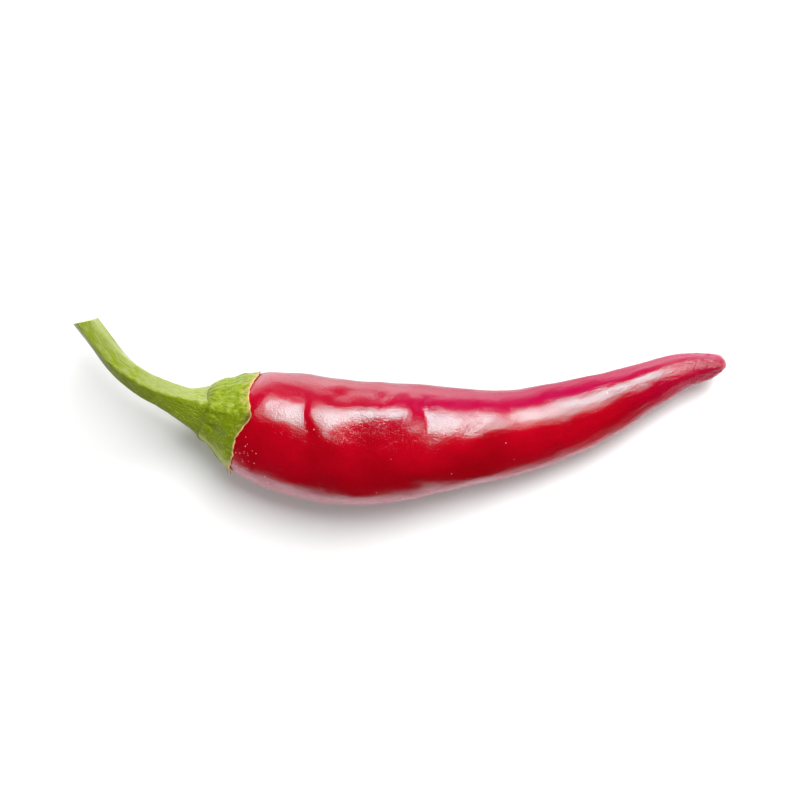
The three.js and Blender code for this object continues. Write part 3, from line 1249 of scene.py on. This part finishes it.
@dataclass
class Stem:
    """The cut stem: a ridged rod that flares into the calyx.

    Args:
        spine: The curve that it follows.
        rows: Places on the spine and the radius there, in mm.
        sag: Places on the spine and how far its middle lies off the spine there, towards -Y, in mm.
        crest: Places on the spine and the angle of the ridge between the face with painted sheen, towards
            the
        lights, and the deep one there, in degrees.
        ridges: How many blunt ridges its section has.
        ridge_share: How high they are, as a share of the radius.
        ridge_turn: How far they are turned, in degrees.
        fibre_height: How far its fibres stand out, in mm.
        cut_point: A point on the cut, in mm.
        cut_facing: The way that the cut faces.
        cutter_size: The size of the block that is taken off, in mm.
        points: How many points its path has.
        sides: How many sides its section has.
    """

    spine: Spine
    rows: Rows = (
        (-62.0, 2.2), (-55.0, 2.05), (-50.0, 2.15), (-45.0, 2.4), (-42.0, 2.75), (-40.0, 3.2),
        (-38.0, 4.0), (-37.0, 4.5), (-36.6, 4.3),
    )
    sag: Rows = ((-46.0, 0.0), (-44.0, 0.03), (-42.0, 0.15), (-40.0, 0.35), (-38.0, 0.45), (-36.6, 0.5))
    crest: Rows = (
        (-60.0, -38.0), (-55.0, -38.0), (-49.4, -12.0), (-44.7, 3.0), (-40.6, 17.0), (-37.5, 13.0),
    )
    ridges: float = 5.0
    ridge_share: float = 0.11
    ridge_turn: float = 95.0
    fibre_height: float = 0.22
    cut_point: Place = (-57.78, 16.54, 15.6)
    cut_facing: Place = (-0.21, 0.97, 0.14)
    cutter_size: float = 16.0
    points: int = 260
    sides: int = 120

    def places(self, count: int) -> np.ndarray:
        """Evenly spaced places on the spine, from past the cut to the stem's foot."""
        return np.linspace(self.rows[0][0], self.rows[-1][0], count)

    def path(self) -> bpy.types.Object:
        """The path as a curve object, with the stem's radius at each point."""
        x = self.places(self.points)
        _, across, _ = self.spine.directions(x)
        places = (self.spine.point(x) - across * SmoothRows(self.sag).at(x)) * MM
        curve = bpy.data.curves.new("stem_path", "CURVE")
        curve.dimensions = "3D"
        strand = curve.splines.new("POLY")
        strand.points.add(self.points - 1)
        strand.points.foreach_set("co", np.column_stack([places, np.ones(len(x))]).ravel())
        strand.points.foreach_set("radius", SmoothRows(self.rows).at(x)[:, 0] * MM)
        strand.points.foreach_set("tilt", -np.radians(SmoothRows(self.crest).at(x)[:, 0]))
        return add_object("stem_path", curve)

    def tree(self) -> bpy.types.NodeTree:
        """The node tree that turns the path into the stem."""
        sizes = ("Ridge Share", "Ridge Turn", "Fibre Height", "Cutter Size")
        inputs = {"Path": Kind.GEOMETRY} | {label: Kind.FLOAT for label in sizes}
        inputs |= {"Cutter Place": Kind.VECTOR, "Cutter Turn": Kind.VECTOR, "Material": Kind.MATERIAL}
        outputs = {"Stem": Kind.GEOMETRY}
        sketch = GeometrySketch(new_group("stem_rind", "GeometryNodeTree", inputs, outputs))
        inside = sketch.add("NodeGroupInput").outputs
        length = sketch.add("GeometryNodeSplineParameter").outputs["Length"]
        path = sketch.store(inside["Path"], "stem_length", length)
        path = sketch.first("GeometryNodeSetCurveNormal", {"Curve": path}, mode="Z_UP")
        swept = {
            "Curve": path,
            "Profile Curve": self.section(sketch, inside),
            "Scale": sketch.first("GeometryNodeInputRadius"),
            "Fill Caps": True,
        }
        rod = sketch.first("GeometryNodeCurveToMesh", swept)
        rod = self.roughen(sketch, rod, inside["Fibre Height"])
        cube = {"Size": sketch.combine(*[inside["Cutter Size"]] * 3)}
        moved = {
            "Geometry": sketch.first("GeometryNodeMeshCube", cube),
            "Translation": inside["Cutter Place"],
            "Rotation": inside["Cutter Turn"],
        }
        pair = {"Mesh 1": rod, "Mesh 2": sketch.first("GeometryNodeTransform", moved)}
        cut = sketch.first("GeometryNodeMeshBoolean", pair, operation="DIFFERENCE", solver="EXACT")
        sketch.deliver(cut, inside["Material"])
        return sketch.tree

    def section(self, sketch: GeometrySketch, inside: bpy.types.bpy_prop_collection) -> Socket:
        """Adds the stem's section: a circle with blunt ridges.

        Args:
            sketch: The stem's sketch.
            inside: The tree's inputs.

        Returns:
            The section's curve, of radius 1.
        """
        half, sharpness, valley = 0.5, 2.0, 0.97
        round_section = {"Resolution": self.sides, "Radius": 1.0}
        circle = sketch.first("GeometryNodeCurvePrimitiveCircle", round_section)
        share = sketch.add("GeometryNodeSplineParameter").outputs["Factor"]
        turn = sketch.math("MULTIPLY", share, 2.0 * math.pi)
        ridge = sketch.math("COSINE", sketch.math("MULTIPLY_ADD", turn, self.ridges, inside["Ridge Turn"]))
        crest = sketch.math("POWER", sketch.math("MULTIPLY_ADD", ridge, half, half), sharpness)
        swell = sketch.math("MULTIPLY_ADD", crest, inside["Ridge Share"], valley)
        place = sketch.first("GeometryNodeInputPosition")
        moved = sketch.vector("MULTIPLY", place, sketch.combine(swell, swell, 1.0))
        shaped = sketch.first("GeometryNodeSetPosition", {"Geometry": circle, "Position": moved})
        return sketch.store(shaped, "stem_turn", turn)

    def roughen(self, sketch: GeometrySketch, rod: Socket, height: Socket) -> Socket:
        """Adds fibres to the rod: noise that is drawn out along its length.

        Args:
            sketch: The stem's sketch.
            rod: The smooth rod.
            height: How far the fibres stand out, in metres.

        Returns:
            The rod with fibres.
        """
        middle, per_metre = 0.5, 160.0
        length, turn = sketch.stored("stem_length"), sketch.stored("stem_turn")
        along = sketch.math("MULTIPLY", length, per_metre)
        place = sketch.combine(sketch.math("COSINE", turn), sketch.math("SINE", turn), along)
        texture = {"Vector": place, "Scale": 3.6, "Detail": 3.0, "Roughness": 0.6}
        noise = sketch.first("ShaderNodeTexNoise", texture)
        rise = sketch.math("MULTIPLY", sketch.math("SUBTRACT", noise, middle), height)
        normal = {0: sketch.first("GeometryNodeInputNormal"), "Scale": rise}
        offset = sketch.first("ShaderNodeVectorMath", normal, operation="SCALE")
        return sketch.first("GeometryNodeSetPosition", {"Geometry": rod, "Offset": offset})

    def build(self, material: bpy.types.Material) -> bpy.types.Object:
        """Builds the stem's mesh.

        Args:
            material: The stem's material.

        Returns:
            The stem.
        """
        facing = Vector(self.cut_facing).normalized()
        middle = (Vector(self.cut_point) + facing * self.cutter_size / 2) * MM
        inputs = {
            "Ridge Share": self.ridge_share,
            "Ridge Turn": math.radians(self.ridge_turn),
            "Fibre Height": self.fibre_height * MM,
            "Cutter Size": self.cutter_size * MM,
            "Cutter Place": tuple(middle),
            "Cutter Turn": tuple(facing.to_track_quat("Z", "Y").to_euler()),
            "Material": material,
        }
        stem = grow(self.path(), self.tree(), inputs, "stem_rind")
        stem.data.shade_smooth()
        stem.data.set_sharp_from_angle(angle=math.radians(50.0))
        self.tint(stem)
        return stem

    def find(self, points: np.ndarray) -> tuple[np.ndarray, np.ndarray]:
        """Where points are on the spine.

        Args:
            points: The points, in mm.

        Returns:
            Their nearest places on the spine, and their angles round it in degrees.
        """
        path_x = self.places(4 * self.points)
        path = self.spine.point(path_x)
        _, across, up = self.spine.directions(path_x)
        nearest = np.array([np.argmin(((path - point) ** 2).sum(axis=1)) for point in points])
        offset = points - path[nearest]
        sideways = (offset * across[nearest]).sum(axis=1)
        upwards = (offset * up[nearest]).sum(axis=1)
        return path_x[nearest], np.degrees(np.arctan2(sideways, upwards))

    def tint(self, stem: bpy.types.Object) -> None:
        """Stores what the stem's material reads, with painted sheen on the face towards the lights and a
        painted reflection of the floor along its far edge.

        Args:
            stem: The finished stem.
        """
        points = np.empty(len(stem.data.vertices) * 3)
        stem.data.vertices.foreach_get("co", points)
        points = points.reshape(-1, 3) / MM
        x, angle = self.find(points)
        dry_share, back_loss, end_loss, floor_reflection_share = 0.25, 0.5, 0.3, 0.5
        turned = wrap_degrees(angle - SmoothRows(self.crest).at(x)[:, 0])
        wander = Ripple(seed=43, wavelength=1.6, height=3.0, girth=14.0).at(x, angle)
        # Painted sheen: paler past the crest, on the face towards the lights.
        pale = smoothstep(-7.0, 7.0, turned + wander) * (1.0 - back_loss * smoothstep(95.0, 130.0, turned))
        pale *= 1.0 - end_loss * smoothstep(-46.0, -54.0, x) * smoothstep(75.0, 45.0, turned)
        # A painted reflection of the floor along the far edge.
        floor_reflection = floor_reflection_share * smoothstep(110.0, 150.0, np.abs(turned))
        below_cut = (points - np.array(self.cut_point)) @ np.array(self.cut_facing)
        store_attribute(stem, "fibre", fibre_places(x, angle))
        store_attribute(stem, "pale", np.maximum(pale, floor_reflection))
        store_attribute(stem, "dry", dry_share * smoothstep(-0.5, 0.0, below_cut))
        store_attribute(stem, "tips_and_crease_shade", np.zeros(len(points)))
        store_attribute(stem, "cut", smoothstep(-0.05, -0.01, below_cut))


# --- The studio ---


class Target(Enum):
    """What a light lights."""

    MATT = "matt surfaces"
    GLOSS = "reflections"


@dataclass(frozen=True)
class Softbox:
    """A broad light that faces the chilli. It is a rectangle for matt surfaces, and round in reflections.

    Args:
        name: The light's name.
        target: What it lights. It doesn't show in anything else.
        polar: How far it stands from straight above, towards +Y, in degrees.
        azimuth: How far it is turned from +Y towards +X, in degrees.
        width: Its width along the chilli, in metres.
        height: Its height, in metres.
        radiance: How bright its face is.
        distance: Its distance from the chilli, in metres.
    """

    name: str
    target: Target
    polar: float
    azimuth: float
    width: float
    height: float
    radiance: float
    distance: float = 0.8

    def hang(self, centre: Vector) -> None:
        """Hangs the light.

        Args:
            centre: What it faces, in metres.
        """
        glossy = self.target is Target.GLOSS
        light = bpy.data.lights.new(self.name, "AREA")
        light.shape = "ELLIPSE" if glossy else "RECTANGLE"
        light.size, light.size_y = self.width, self.height
        area = self.width * self.height * (math.pi / 4.0 if glossy else 1.0)
        light.energy = self.radiance * math.pi * area
        polar, azimuth = math.radians(self.polar), math.radians(self.azimuth)
        side = math.sin(polar)
        away = Vector((math.sin(azimuth) * side, math.cos(azimuth) * side, math.cos(polar)))
        lamp = add_object(self.name, light)
        lamp.location = centre + away * self.distance
        lamp.rotation_mode = "QUATERNION"
        lamp.rotation_quaternion = away.to_track_quat("Z", "Y")
        lamp.visible_glossy = glossy
        lamp.visible_diffuse = not glossy
        lamp.visible_camera = False


@dataclass(frozen=True)
class WhiteFloor:
    """The floor's finish: white, and brighter than that in reflections, as an overexposed floor is.

    Places and lengths are in metres. The chilli lies along X with its tail towards +X, and the lights
    stand towards +Y, behind it. The floor has a painted shadow under the stem, and painted light by
    the tail that pales the tail's shadow.

    Args:
        albedo: How much light the floor gives back.
        lit_tail_albedo: The same by the pod's tail, raised as painted light that pales the tail's shadow.
        glow_back: How bright it is in reflections behind the chilli.
        glow_front: The same in front of it.
        glow_tail: The same in front of its tail.
        glow_near: The same right by the chilli, in front of it and behind it.
        reach: How far the floor stays bright in reflections.
    """

    albedo: float = 0.83
    lit_tail_albedo: float = 0.93
    glow_back: float = 3.0
    glow_front: float = 2.6
    glow_tail: float = 1.5
    glow_near: Span = (1.4, 0.6)
    reach: float = 0.085

    def make(self) -> bpy.types.Material:
        """Makes the material, which also turns into a plain white backdrop far away, for the camera."""
        # The middle, the shape and the depth of a painted shadow under the stem.
        foot, foot_shape, stem_shadow_share = (-0.058, -0.001, 0.0), (1.0, 1.3, 1.0), 0.87
        material, sketch = new_material("floor")
        place = sketch.add("ShaderNodeTexCoord").outputs["Object"]
        side = sketch.add("ShaderNodeSeparateXYZ", {0: place}).outputs
        path = sketch.add("ShaderNodeLightPath").outputs
        from_foot = sketch.vector("MULTIPLY", sketch.vector("SUBTRACT", place, foot), foot_shape)
        # The floor is darker round it: a painted shadow.
        stem_shadow = sketch.ramp(sketch.length(from_foot), (0.009, 0.029), (stem_shadow_share, 1.0))
        # Painted light: the floor is lighter towards the tail, which pales the tail's shadow.
        tone = sketch.ramp(side["X"], (-0.02, 0.03), (self.albedo, self.lit_tail_albedo))
        tone = sketch.math("MULTIPLY", tone, stem_shadow)
        matt = sketch.add("ShaderNodeBsdfDiffuse", {"Color": sketch.combine(tone, tone, tone)})
        backdrop = sketch.add("ShaderNodeEmission", {"Color": WHITE, "Strength": 1.0})
        far = sketch.ramp(sketch.length(place), (0.3, 0.7))
        seen = sketch.either(sketch.math("MULTIPLY", far, path["Is Camera Ray"]), matt, backdrop)
        shader = sketch.either(path["Is Glossy Ray"], seen, self.mirrored(sketch, side["X"], side["Y"]))
        sketch.add("ShaderNodeOutputMaterial", {"Surface": shader.outputs[0]})
        return material

    def mirrored(self, sketch: NodeSketch, x: Socket, y: Socket) -> bpy.types.Node:
        """What shows in reflections: a glow round the chilli, which fades into a dark floor.

        Args:
            sketch: The material's sketch.
            x: The X of places on the floor.
            y: Their Y.

        Returns:
            The node that mixes the two.
        """
        squeeze, tail_reach, fade = 0.4, 0.4, 0.12
        tint_turn, green_share, blue_share = (-0.012, 0.012), (0.8, 0.95), (0.87, 1.03)
        middle = sketch.ramp(x, (0.005, 0.045), (-0.005, 0.007))
        flat = sketch.combine(sketch.math("MULTIPLY", x, squeeze), sketch.math("SUBTRACT", y, middle))
        away = sketch.length(flat)
        front = sketch.ramp(x, (0.005, 0.025), (self.glow_front, self.glow_tail))
        far_glow = sketch.ramp(y, (-0.02, 0.02), (front, self.glow_back))
        near_glow = sketch.ramp(y, (-0.015, 0.01), self.glow_near)
        glow = sketch.ramp(away, (0.014, 0.04), (near_glow, far_glow))
        # The glow is pinker in front of the chilli: a painted tint of the reflections there.
        green = sketch.math("MULTIPLY", glow, sketch.ramp(y, tint_turn, green_share))
        blue = sketch.math("MULTIPLY", glow, sketch.ramp(y, tint_turn, blue_share))
        bright = sketch.add("ShaderNodeBsdfDiffuse", {"Color": sketch.combine(glow, green, blue)})
        dark = sketch.add("ShaderNodeBsdfDiffuse", {"Color": (0.05, 0.05, 0.05, 1.0)})
        reach = sketch.ramp(x, (-0.005, 0.02), (self.reach, self.reach * tail_reach))
        near = sketch.ramp(sketch.math("DIVIDE", away, reach), (1.0 + fade, 1.0))
        return sketch.either(near, dark, bright)


@dataclass
class Studio:
    """The floor, the lights and the camera.

    Args:
        centre: The middle of the chilli's box, in metres.
        ambient: The strength of the light from all round, for matt shading.
        softboxes: The lights.
        camera_place: Where the camera stands, in mm.
    """

    centre: Vector
    ambient: float = 0.52
    softboxes: tuple[Softbox, ...] = (
        Softbox("key_matt", Target.MATT, 35.0, 23.0, 0.45, 0.7, 11.0),
        Softbox("key_gloss", Target.GLOSS, 36.0, 12.0, 0.58, 0.54, 36.0),
    )
    camera_place: Place = (-0.7, 2.12, 419.0)

    def build(self) -> None:
        """Builds the whole studio."""
        self.floor()
        for softbox in self.softboxes:
            softbox.hang(self.centre)
        self.surroundings()
        self.camera()

    def floor(self) -> None:
        """Lays a white floor, with a painted shadow under the stem and painted light by the tail."""
        half = 3.0
        corners = [(-half, -half, 0.0), (half, -half, 0.0), (half, half, 0.0), (-half, half, 0.0)]
        mesh = bpy.data.meshes.new("floor")
        mesh.from_pydata(corners, [], [(0, 1, 2, 3)])
        mesh.materials.append(WhiteFloor().make())
        floor = add_object("floor", mesh)

    def surroundings(self) -> None:
        """Lights matt surfaces from all round, stays dark in reflections, and looks white to the camera."""
        world = bpy.data.worlds.new("surroundings")
        world.use_nodes = True
        sketch = NodeSketch(world.node_tree)
        path = sketch.add("ShaderNodeLightPath").outputs
        dark, matt, backdrop = (
            sketch.add("ShaderNodeBackground", {"Color": WHITE, "Strength": strength})
            for strength in (0.0, self.ambient, 1.0)
        )
        lit = sketch.either(path["Is Glossy Ray"], matt, dark)
        shown = sketch.either(path["Is Camera Ray"], lit, backdrop)
        sketch.add("ShaderNodeOutputWorld", {"Surface": shown.outputs[0]})
        bpy.context.scene.world = world
        bpy.context.scene.view_settings.view_transform = "Standard"

    def camera(self) -> None:
        """Sets a camera straight above the chilli, with +Y at the top of the picture."""
        data = bpy.data.cameras.new("camera")
        data.lens = 100.0
        data.sensor_width = 36.0
        camera = add_object("camera", data)
        camera.location = Vector(self.camera_place) * MM
        bpy.context.scene.camera = camera


def declare(piece: bpy.types.Object, node: str = "") -> None:
    """Tells the frame what a piece is.

    Args:
        piece: The piece. Where it stands for a node, its name is its slot's name.
        node: The name of the node that it stands for, or nothing where it only lies on one.
    """
    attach(piece, BODY)
    if node:
        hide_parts(node)
    corners = np.array([corner for corner in piece.bound_box])
    low, high = (corners.min(axis=0) / MM).round(2), (corners.max(axis=0) / MM).round(2)
    log.info("%s: %d faces, from %s to %s mm", piece.name, len(piece.data.polygons), low, high)


def main() -> None:
    """Builds the studio and the chilli, and tells the frame what each piece stands for."""
    logging.basicConfig(level=logging.INFO, format="%(name)s: %(message)s")
    low, high = cad_box
    Studio(centre=(low + high) / 2).build()
    effects = Effects()
    spine = Spine()
    pod = Pod(spine)
    skin = pod.build()
    skin.data.materials.append(PodSkin().make(effects))
    declare(skin, "pod")
    declare(Specks().build(pod))
    cap = Calyx(spine, pod).build()
    cap.data.materials.append(Greenery("calyx_flesh").make(effects))
    declare(cap, "calyx")
    stem = Stem(spine)
    rind = stem.build(Greenery("stem_rind", cut_point=stem.cut_point).make(effects))
    declare(rind, "stem")


if __name__ == "__main__":
    main()
